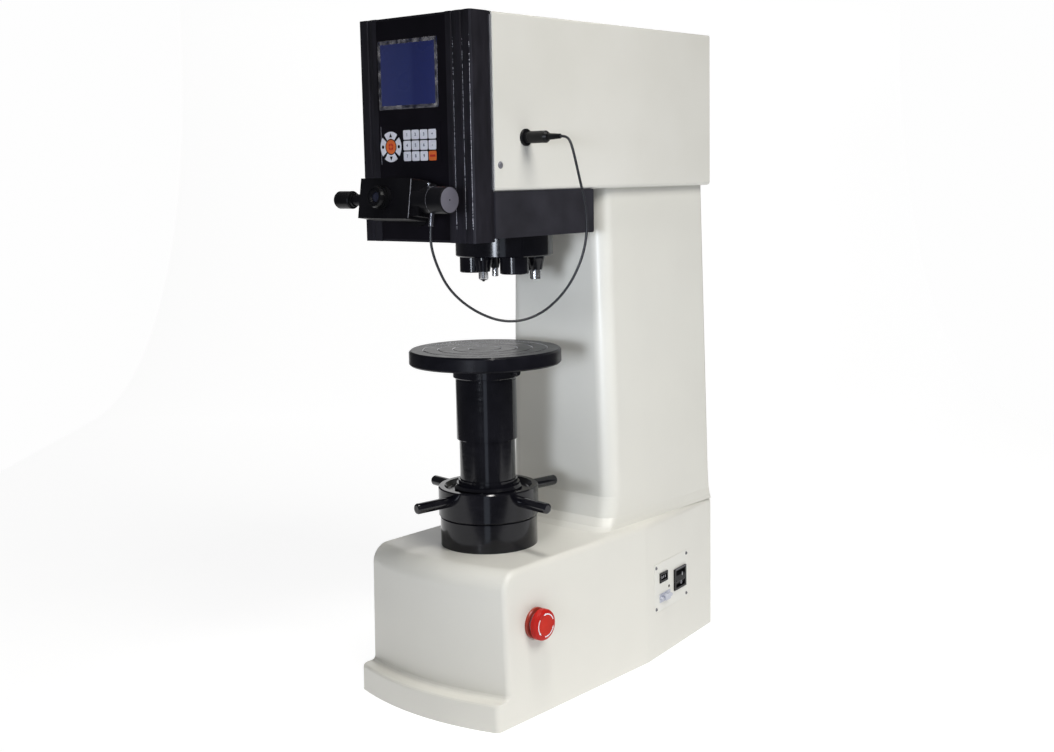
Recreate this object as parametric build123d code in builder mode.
"""Closed-loop Brinell hardness tester: a cast C-frame machine with a capstan-driven elevating
screw, a powered indenter turret, a swivelling measuring microscope and a keypad head.

Frame: +Z up, the operator's side faces -Y, origin on the floor in the middle of the base.
All sizes in millimetres.
"""
import os
from math import atan2, cos, degrees, radians, sin, sqrt, tan

from build123d import *

os.makedirs("parts", exist_ok=True)

# ------------------------------------------------------------------ driving dimensions
FIT = 0.05                      # radial running clearance of a shaft in its bore
SEAT_GAP = 0.3                  # clearance between faces that slide or turn past one another

# cast body
TOTAL_HEIGHT = 875.0
HEAD_HEIGHT = 213.5             # of the head's cover, above the column
HEAD_FRONT_Y = -238.0           # front plane of the head
REAR_Y = 266.0                  # rear plane shared by base, column and head cover
BASE_HEIGHT = 196.0
BASE_HALF_WIDTH = 123.6         # at the floor
BASE_DRAFT = 4.8                # how far each side wall leans in by the top
BASE_REAR_HALF_WIDTH = 95.0
BASE_TAPER_Y = 67.0             # the side walls run straight to here, then taper to the rear
BASE_FRONT_Y = -244.4           # crown of the bowed front wall
FOOT_FRONT_Y = -265.7           # crown of the foot flange below it
BOW = 20.0                      # how far the crown stands out from the corners
FOOT_HEIGHT = 35.0
FRONT_EDGE_R = 25.0
SIDE_EDGE_R = 8.0
FOOT_LIP_R = 4.0
FOOT_ROOT_R = 7.0               # concave sweep from the foot flange into the front wall
CASTING_WALL = 14.0
CASTING_ROOF = 16.0             # over the cored cells
CASTING_FLOOR = 12.0            # under the elevating screw

COLUMN_FRONT_Y = 24.0
COLUMN_FOOT_HALF_WIDTH = 94.0
COLUMN_TOP_HALF_WIDTH = 82.0
COLUMN_CORNER_R = 22.0
COLUMN_FLARE_R = 46.0           # concave sweep from the column into the base

# elevating screw, its nut and the telescopic guard
AXIS_Y = -121.7                 # loading axis
LIFT_UP = 84.0
LIFT_DOWN = 46.0
SCREW_R = 27.5
SCREW_BOTTOM_Z = 62.0
COLLAR_R = 64.3
COLLAR_HEIGHT = 39.0
NUT_R = 66.3
NUT_HEIGHT = 39.5
NUT_TUBE_R = 53.0
NUT_TUBE_BOTTOM_Z = 128.0
TUBE_GAP = 1.0                  # between the nut's tube and its bore
SCREW_GAP = 2.0                 # between the screw and the casting below the nut
THREAD_LENGTH = 60.0
GUARD_LOWER_R = 36.8
GUARD_UPPER_R = 40.1
GUARD_WALL = 2.9
GUARD_UPPER_BOTTOM_Z = 337.0
GUARD_LOWER_BOTTOM_Z = 215.0
GUARD_LOWER_TOP_Z = 390.0
HANDLE_R = 7.0
HANDLE_REACH = 118.8
HANDLE_ANGLE = 82.0
PLATE_R = 100.0
PLATE_TOP_Z = 456.4
PLATE_THICKNESS = 19.4
PLATE_GROOVES = (81.0, 61.7, 42.0, 21.4)
HUB_R = 43.3
HUB_HEIGHT = 18.0
GUIDE_POST_R = 10.0
GUIDE_POST_TOP_Z = 170.0

# head
HEAD_HALF_WIDTH = 95.8
PROFILE_SKIRT = 4.0             # how far the front profile hangs below the beam block
PROFILE_DEPTH = 29.5
NECK_DEPTH = 8.0                # dark seam between the front profile and the cover
COVER_WALL = 3.0
BEAM_DEPTH = 56.5               # of the beam block, below the column's top
BEAM_REAR_Y = -9.5
GROOVE_DEPTH = 6.0              # relief groove in the beam block's underside
FRAME_PLATE = 22.0
FRAME_HALF_WIDTH = 80.0

# turret and indenter
TURRET_PITCH_R = 41.4
TURRET_R = 64.5
TURRET_THICKNESS = 28.5
TURRET_GAP = 0.5
TURRET_SPIGOT_R = 20.0
BOSS_R = 18.9
BOSS_LENGTH = 22.0
NOSE_LENGTH = 19.0              # of the indenter's nose, below the turret's disc
BALL_R = 2.5
TIP_DROP = 32.1                 # of the indenter's tip, below the turret's disc
LOAD_STROKE = 2.0
SPINDLE_R = 14.0
PLUNGER_R = 5.0
PLUNGER_HEAD_R = 9.0
PLUNGER_HEAD = 3.0
INDENTER_R = 6.4

# measuring microscope
EYE_AXIS_DROP = 13.5            # from the column's top to where its axis meets the head's front
EYE_TILT = 8.5                  # degrees that the axis rises towards the operator
EYE_BOX_HALF_WIDTH = 44.2
EYE_BOX_HALF_HEIGHT = 24.2
EYE_BOX_BACK = 26.0
EYE_BOX_DEPTH = 30.5
EYE_TUBE_R = 16.0
DRUM_AXIS_DEPTH = 40.0
DRUM_R = 16.2
ENCODER_LENGTH = 26.0
DRUM_LENGTH = 23.0

# display and keypad
DISPLAY_X = (-62.6, 40.5)
DISPLAY_HEIGHT = 83.8
DISPLAY_TOP_MARGIN = 27.2       # below the top of the head
PANEL_X = (-64.5, 55.0)
PANEL_RECESS = 2.5
PANEL_THICKNESS = 2.0
KEYPAD_HEIGHT = 51.0

# emergency stop and power panel
STOP_Y = -169.8
STOP_Z = 120.8
STOP_R = 20.0
STOP_TRAVEL = 4.0
POWER_ALONG = 73.4              # panel centre, measured along the tapered wall from its bend
POWER_Z = 98.2
POWER_SIZE = (102.0, 70.0)

# socket and lead of the microscope
SOCKET_Y = -143.1
SOCKET_RISE = 65.4              # above the column's top
LEAD_R = 1.6


# ------------------------------------------------------------------ shared helpers
def turn(outline, origin=(0, 0, 0), along=(0, 0, 1), across=(1, 0, 0), mode=Mode.ADD):
    """Revolve an outline of (radius, distance along the axis) points about an axis."""
    normal = Vector(*across).cross(Vector(*along))
    with BuildSketch(Plane(origin=origin, x_dir=across, z_dir=normal)) as profile:
        with BuildLine():
            Polyline(*outline, close=True)
        make_face()
    revolve(profile.sketch, axis=Axis(origin, along), mode=mode)


def tube(outer_r, inner_r, start, end):
    """Outline of a plain ring for turn()."""
    return [(inner_r, start), (outer_r, start), (outer_r, end), (inner_r, end)]


def rod(radius, start, end):
    """Outline of a plain cylinder for turn()."""
    return [(0, start), (radius, start), (radius, end), (0, end)]


def block(x_range, y_range, z_range, mode=Mode.ADD):
    """Rectangular block between three pairs of limits."""
    middle_x, middle_y = sum(x_range) / 2, sum(y_range) / 2
    with BuildSketch(Plane((middle_x, middle_y, min(z_range)))) as footprint:
        Rectangle(abs(x_range[1] - x_range[0]), abs(y_range[1] - y_range[0]))
    extrude(footprint.sketch, amount=abs(z_range[1] - z_range[0]), mode=mode)


def station(angle):
    """Centre of a turret station at an angle about the turret's axis."""
    return (TURRET_PITCH_R * cos(radians(angle)), TURRET_Y + TURRET_PITCH_R * sin(radians(angle)), 0)


# ------------------------------------------------------------------ derived places
COLUMN_TOP_Z = TOTAL_HEIGHT - HEAD_HEIGHT
BEAM_BOTTOM_Z = COLUMN_TOP_Z - BEAM_DEPTH
PROFILE_BOTTOM_Z = BEAM_BOTTOM_Z - PROFILE_SKIRT
TURRET_TOP_Z = BEAM_BOTTOM_Z - TURRET_GAP
TURRET_BOTTOM_Z = TURRET_TOP_Z - TURRET_THICKNESS
NOSE_BOTTOM_Z = TURRET_BOTTOM_Z - NOSE_LENGTH
INDENTER_TIP_Z = TURRET_BOTTOM_Z - TIP_DROP
EYE_AXIS_Z = COLUMN_TOP_Z - EYE_AXIS_DROP
DISPLAY_Z = (TOTAL_HEIGHT - DISPLAY_TOP_MARGIN - DISPLAY_HEIGHT, TOTAL_HEIGHT - DISPLAY_TOP_MARGIN)
SOCKET_Z = COLUMN_TOP_Z + SOCKET_RISE
AXIS = (0, AXIS_Y, 0)
TURRET_Y = AXIS_Y + TURRET_PITCH_R
TURRET_AXIS = (0, TURRET_Y, 0)
COLLAR_TOP_Z = BASE_HEIGHT + COLLAR_HEIGHT
NUT_TOP_Z = COLLAR_TOP_Z + NUT_HEIGHT
THREAD_TOP_Z = NUT_TUBE_BOTTOM_Z + THREAD_LENGTH
PLATE_BOTTOM_Z = PLATE_TOP_Z - PLATE_THICKNESS
HUB_BOTTOM_Z = PLATE_BOTTOM_Z - HUB_HEIGHT
COVER_FRONT_Y = HEAD_FRONT_Y + PROFILE_DEPTH + NECK_DEPTH
FRAME_TOP_Z = COLUMN_TOP_Z + FRAME_PLATE
GROOVE_CEILING_Z = BEAM_BOTTOM_Z + GROOVE_DEPTH


# ------------------------------------------------------------------ body casting
def base_plan(half_width, rear_half_width, front_y, height):
    """Plan of the base at one height: bowed front, straight sides, tapered rear."""
    corner_y = front_y + BOW
    with BuildSketch(Plane.XY.offset(height)) as plan:
        with BuildLine():
            ThreePointArc((-half_width, corner_y), (0, front_y), (half_width, corner_y))
            Polyline(
                (half_width, corner_y),
                (half_width, BASE_TAPER_Y),
                (rear_half_width, REAR_Y),
                (-rear_half_width, REAR_Y),
                (-half_width, BASE_TAPER_Y),
                (-half_width, corner_y),
            )
        make_face()
    return plan.sketch


def foot_plan(height, inset):
    """Plan of the foot flange at one height, flush with the drafted side walls."""
    half_width = BASE_HALF_WIDTH - BASE_DRAFT * height / BASE_HEIGHT
    crown_y = FOOT_FRONT_Y + inset
    corner_y = crown_y + BOW
    rear_y = BASE_FRONT_Y + 2 * BOW
    with BuildSketch(Plane.XY.offset(height)) as plan:
        with BuildLine():
            ThreePointArc((-half_width, corner_y), (0, crown_y), (half_width, corner_y))
            Polyline(
                (half_width, corner_y), (half_width, rear_y), (-half_width, rear_y), (-half_width, corner_y)
            )
        make_face()
        fillet(plan.vertices().group_by(Axis.Y)[0], SIDE_EDGE_R)
    return plan.sketch


def column_section(half_width, front_y, height):
    """Plan of the column at one height: generous front corners, tight rear ones."""
    middle_y = (front_y + REAR_Y) / 2
    with BuildSketch(Plane((0, middle_y, height))) as section:
        Rectangle(2 * half_width, REAR_Y - front_y)
        fillet(section.vertices().group_by(Axis.Y)[0], COLUMN_CORNER_R)
        fillet(section.vertices().group_by(Axis.Y)[-1], SIDE_EDGE_R)
    return section.sketch


def column_half_width(height):
    """Half width of the drafted column at one height."""
    share = (height - BASE_HEIGHT) / (COLUMN_TOP_Z - BASE_HEIGHT)
    return COLUMN_FOOT_HALF_WIDTH + share * (COLUMN_TOP_HALF_WIDTH - COLUMN_FOOT_HALF_WIDTH)


def flare(height):
    """How far the concave foot of the column stands out at a height above the base."""
    return COLUMN_FLARE_R - sqrt(COLUMN_FLARE_R**2 - (COLUMN_FLARE_R - height) ** 2)


def side_wall_x(y, height):
    """Half width of the base's outer wall at a place and height."""
    lean = BASE_DRAFT * height / BASE_HEIGHT
    taper = max(0.0, y - BASE_TAPER_Y) / (REAR_Y - BASE_TAPER_Y)
    straight = BASE_HALF_WIDTH - lean
    return straight + taper * (BASE_REAR_HALF_WIDTH - straight)


STOP_SPOT_MARGIN = 1.5          # spot face round the stop's collar
STOP_SPOT_DEPTH = 0.6
STOP_HOLE_R = 11.5
STOP_HOLE_DEPTH = 25.0
STOP_FACE_X = side_wall_x(STOP_Y, STOP_Z) - STOP_SPOT_DEPTH
POWER_BEND_X = side_wall_x(BASE_TAPER_Y, POWER_Z)
POWER_ANGLE = degrees(atan2(POWER_BEND_X - BASE_REAR_HALF_WIDTH, REAR_Y - BASE_TAPER_Y))
POWER_SEAT = 1.2
POWER_WALL = (-sin(radians(POWER_ANGLE)), cos(radians(POWER_ANGLE)), 0)
POWER_NORMAL = (cos(radians(POWER_ANGLE)), sin(radians(POWER_ANGLE)), 0)
POWER_PLANE = Plane(
    origin=(
        POWER_BEND_X + POWER_ALONG * POWER_WALL[0],
        BASE_TAPER_Y + POWER_ALONG * POWER_WALL[1],
        POWER_Z,
    ),
    x_dir=POWER_WALL,
    z_dir=POWER_NORMAL,
)
ROCKER_AT = (24.5, -1.0)
ROCKER_FRAME = (36.0, 31.0)
INLET_AT = (-25.0, 13.0)
INLET_SIZE = (23.0, 14.0)
PORT_AT = (-21.0, -16.5)
PORT_SIZE = (31.0, 12.5)
POCKET_DEPTH = 40.0
POCKET_LEDGE = 7.0              # ledge that the panel's plate is screwed to

CELL_TOP_Z = BASE_HEIGHT - CASTING_ROOF
SIDE_CELL_X = 66.0              # inner wall of the side cells
SIDE_CELLS_Y = ((-212.0, -74.0), (-60.0, 92.0), (106.0, 252.0))
MIDDLE_CELL_X = 50.0
MIDDLE_CELLS_Y = ((10.0, 124.0), (138.0, 252.0))
DUCT_X = 62.0                   # half width of the wiring duct up the column
DUCT_Y = (50.0, 242.0)

with BuildPart() as body_casting:
    loft(
        [
            base_plan(BASE_HALF_WIDTH, BASE_REAR_HALF_WIDTH, BASE_FRONT_Y, 0),
            base_plan(BASE_HALF_WIDTH - BASE_DRAFT, BASE_REAR_HALF_WIDTH, BASE_FRONT_Y, BASE_HEIGHT),
        ],
        ruled=True,
    )
    top_front_edge = body_casting.faces().sort_by(Axis.Z)[-1].edges().sort_by(lambda e: e.center().Y)[0]
    fillet(top_front_edge, FRONT_EDGE_R)
    side_edges = body_casting.edges().filter_by(
        lambda e: abs(e.center().X) > BASE_REAR_HALF_WIDTH
        and e.center().Z > FOOT_HEIGHT / 2
        and (e.center().Z > BASE_HEIGHT - FRONT_EDGE_R or e.center().Y < BASE_FRONT_Y + 2 * BOW)
    )
    fillet(side_edges, SIDE_EDGE_R)
    # foot flange along the bowed front: a rounded lip, then a concave sweep into the wall
    loft(
        [foot_plan(0, 0)]
        + [
            foot_plan(
                FOOT_HEIGHT - FOOT_LIP_R * (1 - sin(radians(turned))), FOOT_LIP_R * (1 - cos(radians(turned)))
            )
            for turned in (0, 30, 60, 90)
        ],
        ruled=True,
    )
    foot_ledge = BASE_FRONT_Y - FOOT_FRONT_Y - FOOT_ROOT_R
    loft(
        [foot_plan(FOOT_HEIGHT - 1.0, foot_ledge)]
        + [
            foot_plan(
                FOOT_HEIGHT + FOOT_ROOT_R * (1 - cos(radians(turned))),
                foot_ledge + FOOT_ROOT_R * sin(radians(turned)) + FIT,
            )
            for turned in (0, 25, 50, 75)
        ],
        ruled=True,
    )
    # column with its flared foot
    flare_heights = [0.06, 0.18, 0.4, 1.0]
    loft(
        [
            column_section(
                column_half_width(BASE_HEIGHT) + flare(share * COLUMN_FLARE_R) * 0.18,
                COLUMN_FRONT_Y - flare(share * COLUMN_FLARE_R),
                BASE_HEIGHT - 3.0 + share * COLUMN_FLARE_R,
            )
            for share in flare_heights
        ],
        ruled=True,
    )
    loft(
        [
            column_section(
                column_half_width(BASE_HEIGHT), COLUMN_FRONT_Y, BASE_HEIGHT - 3.0 + COLUMN_FLARE_R
            ),
            column_section(COLUMN_TOP_HALF_WIDTH, COLUMN_FRONT_Y, COLUMN_TOP_Z),
        ],
        ruled=True,
    )
    # bore for the nut's tube above the narrower bore of the screw
    turn(rod(NUT_TUBE_R + TUBE_GAP, NUT_TUBE_BOTTOM_Z - 2.0, BASE_HEIGHT + 1.0), AXIS, mode=Mode.SUBTRACT)
    turn(rod(SCREW_R + SCREW_GAP, CASTING_FLOOR, NUT_TUBE_BOTTOM_Z), AXIS, mode=Mode.SUBTRACT)
    # cored cells under the base, with ribs between them
    for low_y, high_y in SIDE_CELLS_Y:
        near_x = side_wall_x(low_y, BASE_HEIGHT) - CASTING_WALL
        far_x = side_wall_x(high_y, BASE_HEIGHT) - CASTING_WALL
        with BuildSketch(Plane.XY):
            with BuildLine():
                Polyline(
                    (SIDE_CELL_X, low_y), (near_x, low_y), (far_x, high_y), (SIDE_CELL_X, high_y), close=True
                )
            make_face()
            mirror(about=Plane.YZ)
        extrude(amount=CELL_TOP_Z, mode=Mode.SUBTRACT)
    for low_y, high_y in MIDDLE_CELLS_Y:
        block((-MIDDLE_CELL_X, MIDDLE_CELL_X), (low_y, high_y), (0, CELL_TOP_Z), Mode.SUBTRACT)
    # duct up the column for the wiring
    block((-DUCT_X, DUCT_X), DUCT_Y, (CELL_TOP_Z - 1.0, COLUMN_TOP_Z + 1.0), Mode.SUBTRACT)
    # spot face and hole of the emergency stop
    for hole in (
        rod(STOP_R + STOP_SPOT_MARGIN, STOP_FACE_X, STOP_FACE_X + BASE_DRAFT),
        rod(STOP_HOLE_R, STOP_FACE_X - STOP_HOLE_DEPTH, STOP_FACE_X + 1.0),
    ):
        turn(hole, (0, STOP_Y, STOP_Z), (1, 0, 0), (0, 1, 0), Mode.SUBTRACT)
    # seat and window of the power panel
    with BuildSketch(POWER_PLANE.offset(-POWER_SEAT)):
        Rectangle(*POWER_SIZE)
    extrude(amount=2 * BASE_DRAFT, mode=Mode.SUBTRACT)
    with BuildSketch(POWER_PLANE.offset(-POCKET_DEPTH)):
        Rectangle(POWER_SIZE[0] - 2 * POCKET_LEDGE, POWER_SIZE[1] - 2 * POCKET_LEDGE)
    extrude(amount=POCKET_DEPTH, mode=Mode.SUBTRACT)
body_casting.part.label = "body_casting"
export_step(body_casting.part, "parts/body_casting.step")


# ------------------------------------------------------------------ nut, screw and table
RACE_R = NUT_TUBE_R + 8.0
RACE_FLOOR_Z = COLLAR_TOP_Z - 6.0
with BuildPart() as seat_collar:
    turn(
        [
            (NUT_TUBE_R + TUBE_GAP, BASE_HEIGHT),
            (COLLAR_R, BASE_HEIGHT),
            (COLLAR_R, COLLAR_TOP_Z - SEAT_GAP - 1.5),
            (COLLAR_R - 1.5, COLLAR_TOP_Z - SEAT_GAP),
            (RACE_R, COLLAR_TOP_Z - SEAT_GAP),
            (RACE_R, RACE_FLOOR_Z),
            (NUT_TUBE_R + TUBE_GAP, RACE_FLOOR_Z),
        ],
        AXIS,
    )
seat_collar.part.label = "seat_collar"
export_step(seat_collar.part, "parts/seat_collar.step")

ROLLER_R = 1.4
ROLLER_COUNT = 16
CAGE_TOP = 0.6                  # of the rollers' cage, above their axes
ROLLER_Z = COLLAR_TOP_Z - SEAT_GAP - ROLLER_R
with BuildPart() as thrust_bearing:
    turn(tube(RACE_R - SEAT_GAP, NUT_TUBE_R + TUBE_GAP, RACE_FLOOR_Z, ROLLER_Z + CAGE_TOP), AXIS)
    for index in range(ROLLER_COUNT):
        angle = radians(360 / ROLLER_COUNT * index)
        turn(
            rod(ROLLER_R, NUT_TUBE_R + TUBE_GAP + 0.8, RACE_R - 0.8),
            (0, AXIS_Y, ROLLER_Z),
            (cos(angle), sin(angle), 0),
            (0, 0, 1),
        )
thrust_bearing.part.label = "thrust_bearing"
export_step(thrust_bearing.part, "parts/thrust_bearing.step")

DISH_R = NUT_R - 8.0
DISH_DEPTH = 6.0
GUARD_BORE_R = GUARD_LOWER_R + 1.7
with BuildPart() as capstan_nut:
    turn(
        [
            (SCREW_R + FIT, NUT_TUBE_BOTTOM_Z),
            (NUT_TUBE_R, NUT_TUBE_BOTTOM_Z),
            (NUT_TUBE_R, COLLAR_TOP_Z),
            (NUT_R - 1.5, COLLAR_TOP_Z),
            (NUT_R, COLLAR_TOP_Z + 1.5),
            (NUT_R, NUT_TOP_Z - 1.5),
            (NUT_R - 1.5, NUT_TOP_Z),
            (DISH_R, NUT_TOP_Z),
            (DISH_R - 4.0, NUT_TOP_Z - DISH_DEPTH),
            (GUARD_BORE_R, NUT_TOP_Z - DISH_DEPTH),
            (GUARD_BORE_R, THREAD_TOP_Z),
            (SCREW_R + FIT, THREAD_TOP_Z),
        ],
        AXIS,
    )
    HANDLE_Z = COLLAR_TOP_Z + NUT_HEIGHT * 0.66
    HANDLE_SOCKET_R = NUT_R - 16.0
    for quarter in range(4):
        angle = radians(HANDLE_ANGLE + 90 * quarter)
        turn(
            rod(HANDLE_R, HANDLE_SOCKET_R, NUT_R + 1.0),
            (0, AXIS_Y, HANDLE_Z),
            (cos(angle), sin(angle), 0),
            (0, 0, 1),
            Mode.SUBTRACT,
        )
capstan_nut.part.label = "capstan_nut"
export_step(capstan_nut.part, "parts/capstan_nut.step")

with BuildPart() as capstan_handles:
    for quarter in range(4):
        angle = radians(HANDLE_ANGLE + 90 * quarter)
        turn(
            [
                (0, HANDLE_SOCKET_R),
                (HANDLE_R, HANDLE_SOCKET_R),
                (HANDLE_R, HANDLE_REACH - 2.5),
                (HANDLE_R - 0.8, HANDLE_REACH - 0.8),
                (HANDLE_R - 2.5, HANDLE_REACH),
                (0, HANDLE_REACH),
            ],
            (0, AXIS_Y, HANDLE_Z),
            (cos(angle), sin(angle), 0),
            (0, 0, 1),
        )
capstan_handles.part.label = "capstan_handles"
export_step(capstan_handles.part, "parts/capstan_handles.step")

GLAND_TOP_Z = NUT_TOP_Z + 9.0
with BuildPart() as guard_gland:
    turn(
        [
            (GUARD_LOWER_R + 0.4, NUT_TOP_Z - DISH_DEPTH),
            (GUARD_LOWER_R + 8.0, NUT_TOP_Z - DISH_DEPTH),
            (GUARD_LOWER_R + 8.0, NUT_TOP_Z - 2.0),
            (GUARD_LOWER_R + 5.0, NUT_TOP_Z + 1.5),
            (GUARD_LOWER_R + 5.0, NUT_TOP_Z + 4.0),
            (GUARD_LOWER_R + 2.6, NUT_TOP_Z + 4.0),
            (GUARD_LOWER_R + 2.6, GLAND_TOP_Z),
            (GUARD_LOWER_R + 0.4, GLAND_TOP_Z),
        ],
        AXIS,
    )
guard_gland.part.label = "guard_gland"
export_step(guard_gland.part, "parts/guard_gland.step")

with BuildPart() as lower_guard:
    turn(tube(GUARD_LOWER_R, GUARD_LOWER_R - GUARD_WALL, GUARD_LOWER_BOTTOM_Z, GUARD_LOWER_TOP_Z), AXIS)
lower_guard.part.label = "lower_guard"
export_step(lower_guard.part, "parts/lower_guard.step")

with BuildPart() as upper_guard:
    turn(
        [
            (GUARD_UPPER_R - GUARD_WALL, GUARD_UPPER_BOTTOM_Z),
            (GUARD_UPPER_R - 0.6, GUARD_UPPER_BOTTOM_Z),
            (GUARD_UPPER_R, GUARD_UPPER_BOTTOM_Z + 0.6),
            (GUARD_UPPER_R, HUB_BOTTOM_Z - 3.0),
            (GUARD_UPPER_R - 0.8, HUB_BOTTOM_Z - 3.0),
            (GUARD_UPPER_R - 0.8, HUB_BOTTOM_Z),
            (SCREW_R + 0.3, HUB_BOTTOM_Z),
            (SCREW_R + 0.3, HUB_BOTTOM_Z - 4.0),
            (GUARD_UPPER_R - GUARD_WALL, HUB_BOTTOM_Z - 4.0),
        ],
        AXIS,
    )
upper_guard.part.label = "upper_guard"
export_step(upper_guard.part, "parts/upper_guard.step")

SCREW_NECK_R = 15.0
SCREW_NECK = 13.0
POST_BORE_TOP_Z = GUIDE_POST_TOP_Z + LIFT_DOWN + 6.0
with BuildPart() as elevating_screw:
    turn(
        [
            (0, SCREW_BOTTOM_Z),
            (SCREW_R - 1.5, SCREW_BOTTOM_Z),
            (SCREW_R, SCREW_BOTTOM_Z + 1.5),
            (SCREW_R, HUB_BOTTOM_Z),
            (SCREW_NECK_R, HUB_BOTTOM_Z),
            (SCREW_NECK_R, HUB_BOTTOM_Z + SCREW_NECK),
            (0, HUB_BOTTOM_Z + SCREW_NECK),
        ],
        AXIS,
    )
    # bore with one flat for the guide post that stops the screw from turning
    with BuildSketch(Plane((0, AXIS_Y, SCREW_BOTTOM_Z))):
        Circle(GUIDE_POST_R + FIT)
        with Locations((GUIDE_POST_R, 0)):
            Rectangle(GUIDE_POST_R - 2 * FIT, 3 * GUIDE_POST_R, mode=Mode.SUBTRACT)
    extrude(amount=POST_BORE_TOP_Z - SCREW_BOTTOM_Z, mode=Mode.SUBTRACT)
elevating_screw.part.label = "elevating_screw"
export_step(elevating_screw.part, "parts/elevating_screw.step")

with BuildPart() as guide_post:
    with BuildSketch(Plane((0, AXIS_Y, CASTING_FLOOR))):
        Circle(GUIDE_POST_R)
        with Locations((GUIDE_POST_R, 0)):
            Rectangle(GUIDE_POST_R, 3 * GUIDE_POST_R, mode=Mode.SUBTRACT)
    extrude(amount=GUIDE_POST_TOP_Z - CASTING_FLOOR)
guide_post.part.label = "guide_post"
export_step(guide_post.part, "parts/guide_post.step")

HUB_SPIGOT_R = 19.0
HUB_SPIGOT = 11.0
KNOB_ANGLE = 9.0
CLAMP_SCREW_R = 3.0
CLAMP_SCREW_DEPTH = 14.0
CLAMP_HEAD_R = 5.6
CLAMP_HEAD_END = HUB_R + 8.2
with BuildPart() as table_hub:
    turn(
        [
            (SCREW_NECK_R + FIT, HUB_BOTTOM_Z),
            (HUB_R - 1.0, HUB_BOTTOM_Z),
            (HUB_R, HUB_BOTTOM_Z + 1.0),
            (HUB_R, PLATE_BOTTOM_Z),
            (HUB_SPIGOT_R, PLATE_BOTTOM_Z),
            (HUB_SPIGOT_R, PLATE_BOTTOM_Z + HUB_SPIGOT),
            (0, PLATE_BOTTOM_Z + HUB_SPIGOT),
            (0, HUB_BOTTOM_Z + SCREW_NECK),
            (SCREW_NECK_R + FIT, HUB_BOTTOM_Z + SCREW_NECK),
        ],
        AXIS,
    )
    turn(
        rod(CLAMP_SCREW_R, HUB_R - CLAMP_SCREW_DEPTH, HUB_R + 1.0),
        (0, AXIS_Y, HUB_BOTTOM_Z + HUB_HEIGHT / 2),
        (cos(radians(KNOB_ANGLE)), sin(radians(KNOB_ANGLE)), 0),
        (0, 0, 1),
        Mode.SUBTRACT,
    )
table_hub.part.label = "table_hub"
export_step(table_hub.part, "parts/table_hub.step")

with BuildPart() as clamp_screw:
    turn(
        [
            (0, HUB_R - CLAMP_SCREW_DEPTH),
            (CLAMP_SCREW_R, HUB_R - CLAMP_SCREW_DEPTH),
            (CLAMP_SCREW_R, HUB_R + SEAT_GAP),
            (CLAMP_HEAD_R - 0.6, HUB_R + SEAT_GAP),
            (CLAMP_HEAD_R, HUB_R + SEAT_GAP + 1.0),
            (CLAMP_HEAD_R, CLAMP_HEAD_END - 1.2),
            (CLAMP_HEAD_R - 0.8, CLAMP_HEAD_END),
            (0, CLAMP_HEAD_END),
        ],
        (0, AXIS_Y, HUB_BOTTOM_Z + HUB_HEIGHT / 2),
        (cos(radians(KNOB_ANGLE)), sin(radians(KNOB_ANGLE)), 0),
        (0, 0, 1),
    )
clamp_screw.part.label = "clamp_screw"
export_step(clamp_screw.part, "parts/clamp_screw.step")

GROOVE_HALF_WIDTH = 1.2
with BuildPart() as test_table:
    turn(
        [
            (0, PLATE_BOTTOM_Z + HUB_SPIGOT),
            (HUB_SPIGOT_R + FIT, PLATE_BOTTOM_Z + HUB_SPIGOT),
            (HUB_SPIGOT_R + FIT, PLATE_BOTTOM_Z),
            (PLATE_R - 2.0, PLATE_BOTTOM_Z),
            (PLATE_R, PLATE_BOTTOM_Z + 2.0),
            (PLATE_R, PLATE_TOP_Z - 2.5),
            (PLATE_R - 2.5, PLATE_TOP_Z),
            (0, PLATE_TOP_Z),
        ],
        AXIS,
    )
    for groove_r in PLATE_GROOVES:
        turn(
            [
                (groove_r - GROOVE_HALF_WIDTH, PLATE_TOP_Z + 0.1),
                (groove_r, PLATE_TOP_Z - GROOVE_HALF_WIDTH),
                (groove_r + GROOVE_HALF_WIDTH, PLATE_TOP_Z + 0.1),
            ],
            AXIS,
            mode=Mode.SUBTRACT,
        )
test_table.part.label = "test_table"
export_step(test_table.part, "parts/test_table.step")


# ------------------------------------------------------------------ head frame and beam block
SPINDLE_HOLE_R = 18.0
CHEEK_X = (64.0, 76.0)
CHEEK_REACH = 46.0              # in front of the loading axis
CHEEK_Y = (AXIS_Y - CHEEK_REACH, -46.0)
BRIDGE_TOP_MARGIN = 59.0        # below the top of the head
BRIDGE_THICKNESS = 16.0
BRIDGE_Z = (TOTAL_HEIGHT - BRIDGE_TOP_MARGIN - BRIDGE_THICKNESS, TOTAL_HEIGHT - BRIDGE_TOP_MARGIN)
BRIDGE_REAR_Y = 4.0
BRIDGE_TAIL_X = 30.0            # half width of the tail that carries the motor
MOTOR_Y = -28.0
SHAFT_HOLE_R = 7.0
PLATE_FRONT_MARGIN = 24.0       # from the front profile to the frame's plate
PLATE_REAR_MARGIN = 8.0
SPIGOT_HOLE_R = TURRET_SPIGOT_R + 6.0
WINDOW_X = 50.0                 # half width of the plate's window for the wiring
WINDOW_Y = (66.0, 226.0)
BEARING_R = 13.0
GUIDE_ROD_X = 46.0
GUIDE_ROD_R = 6.0
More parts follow.
